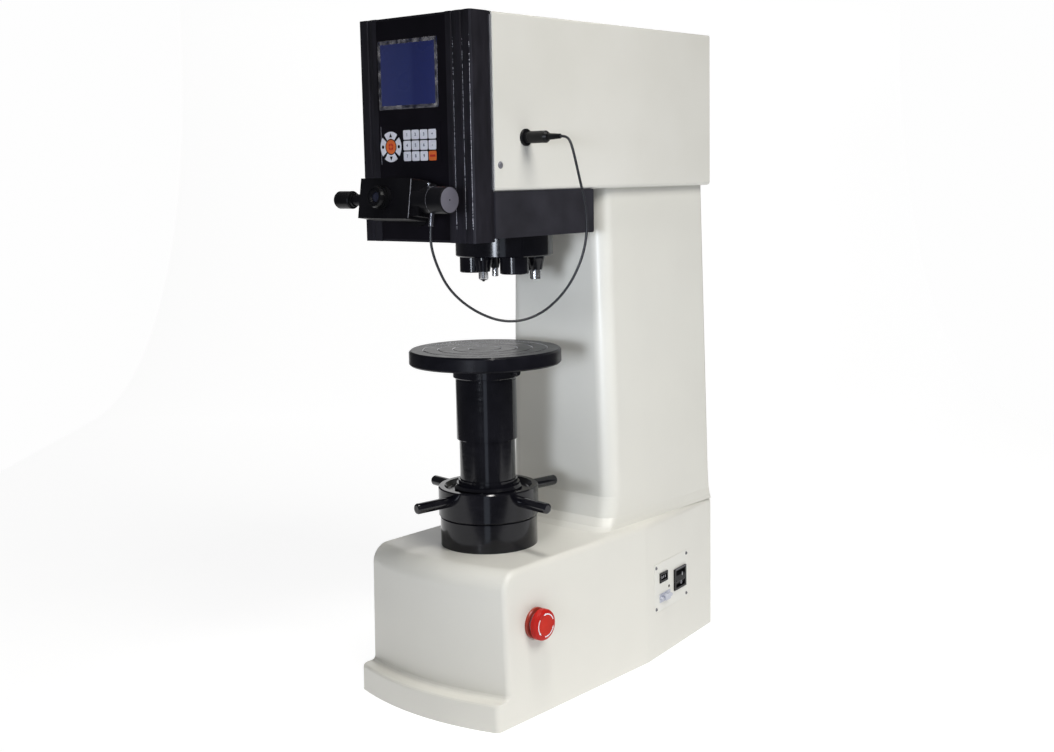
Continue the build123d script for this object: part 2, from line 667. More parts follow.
with BuildPart() as head_frame:
    block(
        (-FRAME_HALF_WIDTH, FRAME_HALF_WIDTH),
        (COVER_FRONT_Y + PLATE_FRONT_MARGIN, REAR_Y - PLATE_REAR_MARGIN),
        (COLUMN_TOP_Z, FRAME_TOP_Z),
    )
    for side in (-1, 1):
        block((side * CHEEK_X[0], side * CHEEK_X[1]), CHEEK_Y, (FRAME_TOP_Z, BRIDGE_Z[1]))
    block((-CHEEK_X[0], CHEEK_X[0]), CHEEK_Y, BRIDGE_Z)
    block((-BRIDGE_TAIL_X, BRIDGE_TAIL_X), (CHEEK_Y[1], BRIDGE_REAR_Y), BRIDGE_Z)
    turn(rod(SPINDLE_HOLE_R, COLUMN_TOP_Z - 1.0, FRAME_TOP_Z + 1.0), AXIS, mode=Mode.SUBTRACT)
    turn(rod(SPIGOT_HOLE_R, COLUMN_TOP_Z - 1.0, FRAME_TOP_Z + 1.0), TURRET_AXIS, mode=Mode.SUBTRACT)
    turn(rod(BEARING_R, BRIDGE_Z[0] - 1.0, BRIDGE_Z[1] + 1.0), AXIS, mode=Mode.SUBTRACT)
    turn(rod(SHAFT_HOLE_R, BRIDGE_Z[0] - 1.0, BRIDGE_Z[1] + 1.0), (0, MOTOR_Y, 0), mode=Mode.SUBTRACT)
    block((-WINDOW_X, WINDOW_X), WINDOW_Y, (COLUMN_TOP_Z - 1.0, FRAME_TOP_Z + 1.0), Mode.SUBTRACT)
head_frame.part.label = "head_frame"
export_step(head_frame.part, "parts/head_frame.step")

with BuildPart() as guide_rods:
    for side in (-1, 1):
        turn(rod(GUIDE_ROD_R, FRAME_TOP_Z, BRIDGE_Z[0]), (side * GUIDE_ROD_X, AXIS_Y, 0))
guide_rods.part.label = "guide_rods"
export_step(guide_rods.part, "parts/guide_rods.step")

with BuildPart() as beam_block:
    block((-HEAD_HALF_WIDTH, HEAD_HALF_WIDTH), (COVER_FRONT_Y, BEAM_REAR_Y), (BEAM_BOTTOM_Z, COLUMN_TOP_Z))
    chamfer(beam_block.edges().group_by(Axis.Z)[0].filter_by(Axis.X).sort_by(Axis.Y)[-1], 1.5)
    # relief groove that the indenter's head travels round in
    relief = PLUNGER_HEAD_R + 2.0
    turn(
        tube(TURRET_PITCH_R + relief, TURRET_PITCH_R - relief, BEAM_BOTTOM_Z - 1.0, GROOVE_CEILING_Z),
        TURRET_AXIS,
        mode=Mode.SUBTRACT,
    )
    turn(rod(SPINDLE_R + FIT, BEAM_BOTTOM_Z - 1.0, COLUMN_TOP_Z + 1.0), AXIS, mode=Mode.SUBTRACT)
    turn(rod(TURRET_SPIGOT_R + FIT, BEAM_BOTTOM_Z - 1.0, COLUMN_TOP_Z + 1.0), TURRET_AXIS, mode=Mode.SUBTRACT)
beam_block.part.label = "beam_block"
export_step(beam_block.part, "parts/beam_block.step")


# ------------------------------------------------------------------ turret
STATIONS = (-90, 30, 150)
BOSSES = (-150, -30, 90)
SPIGOT_TOP_Z = COLUMN_TOP_Z + 38.5
RETAINER_R = TURRET_SPIGOT_R + 4.0
RETAINER_HEIGHT = 11.0
with BuildPart() as turret_disc:
    turn(
        [
            (0, TURRET_BOTTOM_Z),
            (TURRET_R - 1.5, TURRET_BOTTOM_Z),
            (TURRET_R, TURRET_BOTTOM_Z + 1.5),
            (TURRET_R, TURRET_TOP_Z),
            (TURRET_SPIGOT_R, TURRET_TOP_Z),
            (TURRET_SPIGOT_R, SPIGOT_TOP_Z),
            (0, SPIGOT_TOP_Z),
        ],
        TURRET_AXIS,
    )
    for angle in BOSSES:
        turn(
            [
                (0, TURRET_BOTTOM_Z - BOSS_LENGTH),
                (BOSS_R - 1.0, TURRET_BOTTOM_Z - BOSS_LENGTH),
                (BOSS_R, TURRET_BOTTOM_Z - BOSS_LENGTH + 1.0),
                (BOSS_R, TURRET_BOTTOM_Z + 1.0),
                (0, TURRET_BOTTOM_Z + 1.0),
            ],
            station(angle),
        )
    for angle in STATIONS:
        bore = rod(PLUNGER_R + FIT, TURRET_BOTTOM_Z - 1.0, TURRET_TOP_Z + 1.0)
        turn(bore, station(angle), mode=Mode.SUBTRACT)
turret_disc.part.label = "turret_disc"
export_step(turret_disc.part, "parts/turret_disc.step")

with BuildPart() as turret_retainer:
    turn(
        tube(RETAINER_R, TURRET_SPIGOT_R, COLUMN_TOP_Z + SEAT_GAP, COLUMN_TOP_Z + RETAINER_HEIGHT),
        TURRET_AXIS,
    )
turret_retainer.part.label = "turret_retainer"
export_step(turret_retainer.part, "parts/turret_retainer.step")

NOSE_R = 11.7
NOSE_TIP_R = 8.8
NOSE_FOOT = 4.0                 # straight part at the top of the nose and of each objective
with BuildPart() as indenter_nose:
    turn(
        [
            (INDENTER_R + FIT, NOSE_BOTTOM_Z),
            (NOSE_TIP_R, NOSE_BOTTOM_Z),
            (NOSE_R, TURRET_BOTTOM_Z - NOSE_FOOT),
            (NOSE_R, TURRET_BOTTOM_Z),
            (INDENTER_R + FIT, TURRET_BOTTOM_Z),
        ],
        station(STATIONS[0]),
    )
indenter_nose.part.label = "indenter_nose"
export_step(indenter_nose.part, "parts/indenter_nose.step")

PLUNGER_TOP_Z = TURRET_TOP_Z + LOAD_STROKE + SEAT_GAP + PLUNGER_HEAD
PLUNGER_BOTTOM_Z = TURRET_BOTTOM_Z - LOAD_STROKE - SEAT_GAP
with BuildPart() as load_plunger:
    turn(
        [
            (0, PLUNGER_BOTTOM_Z),
            (PLUNGER_R, PLUNGER_BOTTOM_Z),
            (PLUNGER_R, PLUNGER_TOP_Z - PLUNGER_HEAD),
            (PLUNGER_HEAD_R, PLUNGER_TOP_Z - PLUNGER_HEAD),
            (PLUNGER_HEAD_R, PLUNGER_TOP_Z - 1.0),
            (PLUNGER_HEAD_R - 1.0, PLUNGER_TOP_Z),
            (0, PLUNGER_TOP_Z),
        ],
        station(STATIONS[0]),
    )
load_plunger.part.label = "load_plunger"
export_step(load_plunger.part, "parts/load_plunger.step")

BALL_CENTRE_Z = INDENTER_TIP_Z + BALL_R
with BuildPart() as ball_indenter:
    turn(
        [
            (0, BALL_CENTRE_Z + 0.4),
            (BALL_R + 0.6, BALL_CENTRE_Z + 0.4),
            (INDENTER_R - 1.4, BALL_CENTRE_Z + 2.2),
            (INDENTER_R, BALL_CENTRE_Z + 4.4),
            (INDENTER_R, PLUNGER_BOTTOM_Z),
            (0, PLUNGER_BOTTOM_Z),
        ],
        station(STATIONS[0]),
    )
    with Locations((station(STATIONS[0])[0], station(STATIONS[0])[1], BALL_CENTRE_Z)):
        Sphere(BALL_R)
ball_indenter.part.label = "ball_indenter"
export_step(ball_indenter.part, "parts/ball_indenter.step")


def objective(foot_r, nose_r, barrel_r, bottom_z):
    """Outline of an objective: black cone with a bright barrel below it, hollow at the lens."""
    return [
        (0, bottom_z + 3.0),
        (barrel_r - 1.8, bottom_z + 3.0),
        (barrel_r - 1.2, bottom_z),
        (barrel_r - 0.6, bottom_z),
        (barrel_r, bottom_z + 0.6),
        (barrel_r, NOSE_BOTTOM_Z),
        (nose_r, NOSE_BOTTOM_Z),
        (foot_r, TURRET_BOTTOM_Z - NOSE_FOOT),
        (foot_r, TURRET_BOTTOM_Z),
        (0, TURRET_BOTTOM_Z),
    ]


with BuildPart() as measuring_objective:
    turn(objective(12.5, 9.0, 7.5, INDENTER_TIP_Z + 0.5), station(STATIONS[1]))
measuring_objective.part.label = "measuring_objective"
export_step(measuring_objective.part, "parts/measuring_objective.step")

with BuildPart() as finding_objective:
    turn(objective(8.0, 5.4, 4.4, INDENTER_TIP_Z + 1.6), station(STATIONS[2]))
finding_objective.part.label = "finding_objective"
export_step(finding_objective.part, "parts/finding_objective.step")

TURRET_MOTOR_R = 17.0
TURRET_MOTOR_TOP_Z = SPIGOT_TOP_Z + 42.0
MOTOR_STRAP_THICKNESS = 5.0
MOTOR_STRAP_HALF_WIDTH = 8.0
with BuildPart() as turret_motor:
    turn(rod(TURRET_MOTOR_R, SPIGOT_TOP_Z + SEAT_GAP, TURRET_MOTOR_TOP_Z), TURRET_AXIS)
    block(
        (-CHEEK_X[0], CHEEK_X[0]),
        (TURRET_Y - MOTOR_STRAP_HALF_WIDTH, TURRET_Y + MOTOR_STRAP_HALF_WIDTH),
        (TURRET_MOTOR_TOP_Z, TURRET_MOTOR_TOP_Z + MOTOR_STRAP_THICKNESS),
    )
turret_motor.part.label = "turret_motor"
export_step(turret_motor.part, "parts/turret_motor.step")


# ------------------------------------------------------------------ load train
SPINDLE_BOTTOM_Z = PLUNGER_TOP_Z + SEAT_GAP
CELL_R = 19.5
CELL_RISE = 42.5                # above the column's top
CELL_HEIGHT = 24.0
CELL_FLANGE = 7.0
CELL_WAIST_R = CELL_R - 4.0
CELL_Z = (COLUMN_TOP_Z + CELL_RISE, COLUMN_TOP_Z + CELL_RISE + CELL_HEIGHT)
SPINDLE_FLANGE_R = SPINDLE_R + 3.0
SPINDLE_FLANGE = 5.0
CARRIAGE_HEIGHT = 38.0
CARRIAGE_HALF_LENGTH = 58.0
CARRIAGE_HALF_DEPTH = 17.0
CARRIAGE_Z = (CELL_Z[1], CELL_Z[1] + CARRIAGE_HEIGHT)
BALL_SCREW_R = 8.0
BALL_NUT_R = BALL_SCREW_R + 5.0
BALL_NUT_HEIGHT = 10.0
BALL_SCREW_BOTTOM_Z = CARRIAGE_Z[0] + 12.0
CARRIAGE_FLOOR = 6.0            # room below the ball screw for the stroke
with BuildPart() as load_spindle:
    turn(
        [
            (0, SPINDLE_BOTTOM_Z),
            (SPINDLE_R - 1.0, SPINDLE_BOTTOM_Z),
            (SPINDLE_R, SPINDLE_BOTTOM_Z + 1.0),
            (SPINDLE_R, CELL_Z[0] - SPINDLE_FLANGE),
            (SPINDLE_FLANGE_R, CELL_Z[0] - SPINDLE_FLANGE),
            (SPINDLE_FLANGE_R, CELL_Z[0]),
            (0, CELL_Z[0]),
        ],
        AXIS,
    )
load_spindle.part.label = "load_spindle"
export_step(load_spindle.part, "parts/load_spindle.step")

with BuildPart() as load_cell:
    turn(
        [
            (0, CELL_Z[0]),
            (CELL_R, CELL_Z[0]),
            (CELL_R, CELL_Z[0] + CELL_FLANGE),
            (CELL_WAIST_R, CELL_Z[0] + CELL_FLANGE + 2.0),
            (CELL_WAIST_R, CELL_Z[1] - CELL_FLANGE - 2.0),
            (CELL_R, CELL_Z[1] - CELL_FLANGE),
            (CELL_R, CELL_Z[1]),
            (0, CELL_Z[1]),
        ],
        AXIS,
    )
load_cell.part.label = "load_cell"
export_step(load_cell.part, "parts/load_cell.step")

with BuildPart() as load_carriage:
    block(
        (-CARRIAGE_HALF_LENGTH, CARRIAGE_HALF_LENGTH),
        (AXIS_Y - CARRIAGE_HALF_DEPTH, AXIS_Y + CARRIAGE_HALF_DEPTH),
        CARRIAGE_Z,
    )
    turn(rod(BALL_NUT_R, CARRIAGE_Z[1], CARRIAGE_Z[1] + BALL_NUT_HEIGHT), AXIS)
    turn(
        rod(BALL_SCREW_R + FIT, BALL_SCREW_BOTTOM_Z - CARRIAGE_FLOOR, CARRIAGE_Z[1] + BALL_NUT_HEIGHT + 1.0),
        AXIS,
        mode=Mode.SUBTRACT,
    )
    for side in (-1, 1):
        turn(
            rod(GUIDE_ROD_R + FIT, CARRIAGE_Z[0] - 1.0, CARRIAGE_Z[1] + 1.0),
            (side * GUIDE_ROD_X, AXIS_Y, 0),
            mode=Mode.SUBTRACT,
        )
load_carriage.part.label = "load_carriage"
export_step(load_carriage.part, "parts/load_carriage.step")

PULLEY_RISE = 4.0               # above the bridge
PULLEY_WIDTH = 10.0
PULLEY_FLANGE = 1.5
PULLEY_RIM = 2.0                # that its flanges stand out
PULLEY_Z = (BRIDGE_Z[1] + PULLEY_RISE, BRIDGE_Z[1] + PULLEY_RISE + PULLEY_WIDTH)
DRIVEN_PULLEY_R = 24.0
MOTOR_PULLEY_R = 12.0


def pulley(radius):
    """Outline of a flanged timing pulley at the height of the belt."""
    return [
        (0, PULLEY_Z[0] - PULLEY_FLANGE),
        (radius + PULLEY_RIM, PULLEY_Z[0] - PULLEY_FLANGE),
        (radius + PULLEY_RIM, PULLEY_Z[0]),
        (radius, PULLEY_Z[0]),
        (radius, PULLEY_Z[1]),
        (radius + PULLEY_RIM, PULLEY_Z[1]),
        (radius + PULLEY_RIM, PULLEY_Z[1] + PULLEY_FLANGE),
        (0, PULLEY_Z[1] + PULLEY_FLANGE),
    ]


with BuildPart() as ball_screw:
    turn(rod(BALL_SCREW_R, BALL_SCREW_BOTTOM_Z, PULLEY_Z[0]), AXIS)
    turn(pulley(DRIVEN_PULLEY_R), AXIS)
ball_screw.part.label = "ball_screw"
export_step(ball_screw.part, "parts/ball_screw.step")

with BuildPart() as screw_bearing:
    turn(tube(BEARING_R, BALL_SCREW_R + FIT, BRIDGE_Z[0], BRIDGE_Z[1]), AXIS)
screw_bearing.part.label = "screw_bearing"
export_step(screw_bearing.part, "parts/screw_bearing.step")

MOTOR_SHAFT_R = 3.0
MOTOR_HALF_WIDTH = 21.0
MOTOR_LENGTH = 52.0
SHAFT_BOTTOM_Z = BRIDGE_Z[0] - 19.0
with BuildPart() as load_motor:
    block(
        (-MOTOR_HALF_WIDTH, MOTOR_HALF_WIDTH),
        (MOTOR_Y - MOTOR_HALF_WIDTH, MOTOR_Y + MOTOR_HALF_WIDTH),
        (BRIDGE_Z[0] - MOTOR_LENGTH, BRIDGE_Z[0]),
    )
    chamfer(load_motor.edges().filter_by(Axis.Z), 4.0)
    shaft_bore = rod(MOTOR_SHAFT_R + FIT, SHAFT_BOTTOM_Z - 1.0, BRIDGE_Z[0] + 1.0)
    turn(shaft_bore, (0, MOTOR_Y, 0), mode=Mode.SUBTRACT)
load_motor.part.label = "load_motor"
export_step(load_motor.part, "parts/load_motor.step")

with BuildPart() as motor_pulley:
    turn(rod(MOTOR_SHAFT_R, SHAFT_BOTTOM_Z, PULLEY_Z[0]), (0, MOTOR_Y, 0))
    turn(pulley(MOTOR_PULLEY_R), (0, MOTOR_Y, 0))
motor_pulley.part.label = "motor_pulley"
export_step(motor_pulley.part, "parts/motor_pulley.step")


def belt_outline(clearance):
    """Convex outline round both pulleys, a clearance outside their working faces."""
    spread = MOTOR_Y - AXIS_Y
    large, small = DRIVEN_PULLEY_R + clearance, MOTOR_PULLEY_R + clearance
    lean = (large - small) / spread
    wide = sqrt(1 - lean**2)
    left_large, left_small = (-large * wide, AXIS_Y + large * lean), (-small * wide, MOTOR_Y + small * lean)
    right_large, right_small = (large * wide, left_large[1]), (small * wide, left_small[1])
    with BuildSketch(Plane.XY.offset(PULLEY_Z[0] + SEAT_GAP)) as outline:
        with BuildLine():
            ThreePointArc(left_large, (0, AXIS_Y - large), right_large)
            Line(right_large, right_small)
            ThreePointArc(right_small, (0, MOTOR_Y + small), left_small)
            Line(left_small, left_large)
        make_face()
    return outline.sketch


BELT_THICKNESS = 1.4
BELT_WIDTH = PULLEY_Z[1] - PULLEY_Z[0] - 2 * SEAT_GAP
with BuildPart() as drive_belt:
    extrude(belt_outline(SEAT_GAP + BELT_THICKNESS), amount=BELT_WIDTH)
    extrude(belt_outline(SEAT_GAP), amount=BELT_WIDTH, mode=Mode.SUBTRACT)
drive_belt.part.label = "drive_belt"
export_step(drive_belt.part, "parts/drive_belt.step")


# ------------------------------------------------------------------ head shell, panel and display
FLUTE_DEPTH = 1.6
FLUTE_WIDTH = 7.0
FLUTES_X = (-80.0, 64.5, 80.0)
CORNER_BEVEL = 2.5
PROFILE_WALL = 6.0
PROFILE_SIDE_WALL = 4.0
NECK_STEP = 2.0
RECESS_Y = HEAD_FRONT_Y + PANEL_RECESS
PANEL_FACE_Y = RECESS_Y - PANEL_THICKNESS
PROFILE_INNER_Y = HEAD_FRONT_Y + PROFILE_WALL
PROFILE_REAR_Y = HEAD_FRONT_Y + PROFILE_DEPTH
NECK_HALF_WIDTH = HEAD_HALF_WIDTH - NECK_STEP
CAVITY_HALF_WIDTH = NECK_HALF_WIDTH - PROFILE_SIDE_WALL
COVER_INNER_HALF_WIDTH = HEAD_HALF_WIDTH - COVER_WALL
LIP_HALF_WIDTH = COVER_INNER_HALF_WIDTH - 0.5
LIP_LENGTH = 22.0
WINDOW_LEDGE = 3.0              # that the display's window rests on
MODULE_MARGIN = 4.0             # of the display module round the window
MODULE_DEPTH = 8.0

EYE_UP = (0, sin(radians(EYE_TILT)), cos(radians(EYE_TILT)))
EYE_OUT = (0, -cos(radians(EYE_TILT)), sin(radians(EYE_TILT)))
EYE_ORIGIN = (0, HEAD_FRONT_Y, EYE_AXIS_Z)
SLEEVE_R = 21.0
SLEEVE_FLANGE_R = 28.0


def flute(edge_x):
    """One shallow flute: a steep face towards +X and a long gentle way back out."""
    return [
        (edge_x - FLUTE_DEPTH * 0.7, HEAD_FRONT_Y),
        (edge_x, HEAD_FRONT_Y + FLUTE_DEPTH),
        (edge_x + FLUTE_WIDTH, HEAD_FRONT_Y),
    ]


with BuildPart() as front_profile:
    with BuildSketch(Plane.XY.offset(PROFILE_BOTTOM_Z)):
        with BuildLine():
            Polyline(
                (-HEAD_HALF_WIDTH, PROFILE_REAR_Y),
                (-HEAD_HALF_WIDTH, HEAD_FRONT_Y + CORNER_BEVEL),
                (-HEAD_HALF_WIDTH + CORNER_BEVEL, HEAD_FRONT_Y),
                *flute(FLUTES_X[0]),
                (PANEL_X[0], HEAD_FRONT_Y),
                (PANEL_X[0], RECESS_Y),
                (PANEL_X[1], RECESS_Y),
                (PANEL_X[1], HEAD_FRONT_Y),
                *flute(FLUTES_X[1]),
                *flute(FLUTES_X[2]),
                (HEAD_HALF_WIDTH - CORNER_BEVEL, HEAD_FRONT_Y),
                (HEAD_HALF_WIDTH, HEAD_FRONT_Y + CORNER_BEVEL),
                (HEAD_HALF_WIDTH, PROFILE_REAR_Y),
                (NECK_HALF_WIDTH, PROFILE_REAR_Y),
                (NECK_HALF_WIDTH, COVER_FRONT_Y),
                (-NECK_HALF_WIDTH, COVER_FRONT_Y),
                (-NECK_HALF_WIDTH, PROFILE_REAR_Y),
                close=True,
            )
        make_face()
    extrude(amount=TOTAL_HEIGHT - PROFILE_BOTTOM_Z)
    block(
        (-CAVITY_HALF_WIDTH, CAVITY_HALF_WIDTH),
        (PROFILE_INNER_Y, COVER_FRONT_Y + 1.0),
        (PROFILE_BOTTOM_Z + PROFILE_SIDE_WALL, TOTAL_HEIGHT - PROFILE_SIDE_WALL),
        Mode.SUBTRACT,
    )
    # lips that the cover slides over
    for side in (-1, 1):
        block(
            (side * (CAVITY_HALF_WIDTH - 1.0), side * LIP_HALF_WIDTH),
            (COVER_FRONT_Y - 2.0, COVER_FRONT_Y + LIP_LENGTH),
            (COLUMN_TOP_Z + COVER_WALL + SEAT_GAP, TOTAL_HEIGHT - PROFILE_SIDE_WALL),
        )
    # window behind the display and bore for the microscope's sleeve
    block(
        (DISPLAY_X[0] + WINDOW_LEDGE, DISPLAY_X[1] - WINDOW_LEDGE),
        (HEAD_FRONT_Y - 1.0, PROFILE_INNER_Y + 1.0),
        (DISPLAY_Z[0] + WINDOW_LEDGE, DISPLAY_Z[1] - WINDOW_LEDGE),
        Mode.SUBTRACT,
    )
    turn(rod(SLEEVE_R + FIT, -20.0, 10.0), EYE_ORIGIN, EYE_OUT, mode=Mode.SUBTRACT)
front_profile.part.label = "front_profile"
export_step(front_profile.part, "parts/front_profile.step")

PANEL_END_GAP = 3.0
PANEL_SIDE_GAP = 0.2
with BuildPart() as front_panel:
    block(
        (PANEL_X[0] + PANEL_SIDE_GAP, PANEL_X[1] - PANEL_SIDE_GAP),
        (PANEL_FACE_Y, RECESS_Y),
        (PROFILE_BOTTOM_Z + PANEL_END_GAP, TOTAL_HEIGHT - PANEL_END_GAP),
    )
    block(DISPLAY_X, (PANEL_FACE_Y - 1.0, RECESS_Y + 1.0), DISPLAY_Z, Mode.SUBTRACT)
    turn(rod(SLEEVE_R + FIT, -20.0, 10.0), EYE_ORIGIN, EYE_OUT, mode=Mode.SUBTRACT)
front_panel.part.label = "front_panel"
export_step(front_panel.part, "parts/front_panel.step")

with BuildPart() as display_window:
    block(DISPLAY_X, (PANEL_FACE_Y, RECESS_Y), DISPLAY_Z)
    chamfer(display_window.faces().sort_by(Axis.Y)[0].edges(), 0.5)
display_window.part.label = "display_window"
export_step(display_window.part, "parts/display_window.step")

SCREEN_MARGIN = WINDOW_LEDGE + 0.5
with BuildPart() as display_module:
    block(
        (DISPLAY_X[0] - MODULE_MARGIN, DISPLAY_X[1] + MODULE_MARGIN),
        (PROFILE_INNER_Y, PROFILE_INNER_Y + MODULE_DEPTH),
        (DISPLAY_Z[0] - MODULE_MARGIN, DISPLAY_Z[1] + MODULE_MARGIN),
    )
    block(
        (DISPLAY_X[0] + SCREEN_MARGIN, DISPLAY_X[1] - SCREEN_MARGIN),
        (RECESS_Y, PROFILE_INNER_Y),
        (DISPLAY_Z[0] + SCREEN_MARGIN, DISPLAY_Z[1] - SCREEN_MARGIN),
    )
display_module.part.label = "display_module"
export_step(display_module.part, "parts/display_module.step")

KEYPAD_THICKNESS = 0.8
KEY_RISE = 0.4
KEY_COLUMNS = 4
KEY_ROWS = 3
KEYPAD_MIDDLE_Z = (EYE_AXIS_Z + SLEEVE_FLANGE_R + DISPLAY_Z[0]) / 2
KEYPAD_Z = (KEYPAD_MIDDLE_Z - KEYPAD_HEIGHT / 2, KEYPAD_MIDDLE_Z + KEYPAD_HEIGHT / 2)
KEYS_X = (-20.6, 36.2)
KEYS_Z = (KEYPAD_MIDDLE_Z - 19.5, KEYPAD_MIDDLE_Z + 18.2)
KEY_SPACE = 1.5
KEY_CORNER_R = 1.8
NAV_AT = (-43.0, KEYPAD_MIDDLE_Z - 1.6)
NAV_R = 18.9
NAV_CENTRE_R = 9.0
KEYPAD_FACE_Y = PANEL_FACE_Y - KEYPAD_THICKNESS
KEY_PITCH_X = (KEYS_X[1] - KEYS_X[0] + KEY_SPACE) / KEY_COLUMNS
KEY_PITCH_Z = (KEYS_Z[1] - KEYS_Z[0] + KEY_SPACE) / KEY_ROWS
with BuildPart() as keypad:
    block(
        (PANEL_X[0] + 2.5, DISPLAY_X[1] + 2.0),
        (KEYPAD_FACE_Y, PANEL_FACE_Y),
        KEYPAD_Z,
    )
    with BuildSketch(Plane((0, KEYPAD_FACE_Y, 0), x_dir=(1, 0, 0), z_dir=(0, -1, 0))):
        with Locations((sum(KEYS_X) / 2, sum(KEYS_Z) / 2)):
            with GridLocations(KEY_PITCH_X, KEY_PITCH_Z, KEY_COLUMNS, KEY_ROWS):
                RectangleRounded(KEY_PITCH_X - KEY_SPACE, KEY_PITCH_Z - KEY_SPACE, KEY_CORNER_R)
        with Locations(NAV_AT):
            Circle(NAV_R)
            Circle(NAV_CENTRE_R + KEY_SPACE / 2, mode=Mode.SUBTRACT)
            Circle(NAV_CENTRE_R)
    extrude(amount=KEY_RISE)
keypad.part.label = "keypad"
export_step(keypad.part, "parts/keypad.step")

COVER_LOWER_EDGE_R = 5.0
COVER_EDGE_R = 2.5
SOCKET_BODY_R = 8.0
with BuildPart() as head_cover:
    block((-HEAD_HALF_WIDTH, HEAD_HALF_WIDTH), (COVER_FRONT_Y, REAR_Y), (COLUMN_TOP_Z, TOTAL_HEIGHT))
    fillet(
        head_cover.edges().filter_by(Axis.Y).group_by(Axis.Z)[0],
        COVER_LOWER_EDGE_R,
    )
    upper_edges = head_cover.edges().filter_by(
        lambda e: e.center().Z > COLUMN_TOP_Z + 2 * COVER_LOWER_EDGE_R and e.center().Y > COVER_FRONT_Y + 1
    )
    fillet(upper_edges, COVER_EDGE_R)
    block(
        (-COVER_INNER_HALF_WIDTH, COVER_INNER_HALF_WIDTH),
        (COVER_FRONT_Y - 1.0, REAR_Y - COVER_WALL),
        (COLUMN_TOP_Z + COVER_WALL, TOTAL_HEIGHT - COVER_WALL),
        Mode.SUBTRACT,
    )
    block(
        (-FRAME_HALF_WIDTH - COVER_WALL, FRAME_HALF_WIDTH + COVER_WALL),
        (COVER_FRONT_Y - 1.0, REAR_Y - COVER_WALL),
        (COLUMN_TOP_Z - 1.0, COLUMN_TOP_Z + COVER_WALL + 1.0),
        Mode.SUBTRACT,
    )
    turn(
        rod(SOCKET_BODY_R + FIT, HEAD_HALF_WIDTH - 2 * COVER_WALL, HEAD_HALF_WIDTH + 1.0),
        (0, SOCKET_Y, SOCKET_Z),
        (1, 0, 0),
        (0, 0, 1),
        Mode.SUBTRACT,
    )
head_cover.part.label = "head_cover"
export_step(head_cover.part, "parts/head_cover.step")

CASE_SCREW_R = 4.5
CASE_SCREW_HEAD = 1.5
CASE_SCREW_AT = (-190.0, COLUMN_TOP_Z + 32.0)
PANEL_SCREW_R = 2.6
PANEL_SCREW_SPAN = (46.0, 30.0)
PANEL_PLATE_THICKNESS = 1.5
PANEL_PLATE_FACE = PANEL_PLATE_THICKNESS - POWER_SEAT


def on_power_wall(along, up):
    """Place on the tapered wall, from the middle of the power panel."""
    return tuple(POWER_PLANE.from_local_coords((along, up, 0)))


with BuildPart() as case_screws:
    for side in (-1, 1):
        turn(
            [
                (0, HEAD_HALF_WIDTH),
                (CASE_SCREW_R, HEAD_HALF_WIDTH),
                (CASE_SCREW_R * 0.6, HEAD_HALF_WIDTH + CASE_SCREW_HEAD),
                (0, HEAD_HALF_WIDTH + CASE_SCREW_HEAD),
            ],
            (0, CASE_SCREW_AT[0], CASE_SCREW_AT[1]),
            (side, 0, 0),
            (0, 0, 1),
        )
    for along in (-PANEL_SCREW_SPAN[0], PANEL_SCREW_SPAN[0]):
        for up in (-PANEL_SCREW_SPAN[1], PANEL_SCREW_SPAN[1]):
            turn(
                [
                    (0, PANEL_PLATE_FACE),
                    (PANEL_SCREW_R, PANEL_PLATE_FACE),
                    (PANEL_SCREW_R * 0.6, PANEL_PLATE_FACE + 1.2),
                    (0, PANEL_PLATE_FACE + 1.2),
                ],
                on_power_wall(along, up),
                POWER_NORMAL,
                (0, 0, 1),
            )
case_screws.part.label = "case_screws"
export_step(case_screws.part, "parts/case_screws.step")


# ------------------------------------------------------------------ measuring microscope
SLEEVE_FLANGE = 4.0
SLEEVE_LENGTH = (-12.0, EYE_BOX_BACK - 1.0)
with BuildPart() as microscope_sleeve:
    turn(
        rod(SLEEVE_FLANGE_R, 0, SLEEVE_FLANGE),
        (0, PANEL_FACE_Y, EYE_AXIS_Z),
        (0, -1, 0),
    )
    turn(rod(SLEEVE_R, *SLEEVE_LENGTH), EYE_ORIGIN, EYE_OUT)
    turn(
        rod(EYE_TUBE_R + FIT, SLEEVE_LENGTH[0] - 1.0, SLEEVE_LENGTH[1] + 1.0),
        EYE_ORIGIN,
        EYE_OUT,
        mode=Mode.SUBTRACT,
    )
microscope_sleeve.part.label = "microscope_sleeve"
export_step(microscope_sleeve.part, "parts/microscope_sleeve.step")


def eye_point(across, up, out):
    """Place in the tilted frame of the microscope: across, up and out along its axis."""
    return tuple(
        EYE_ORIGIN[index] + up * EYE_UP[index] + out * EYE_OUT[index] + (across if index == 0 else 0)
        for index in range(3)
    )


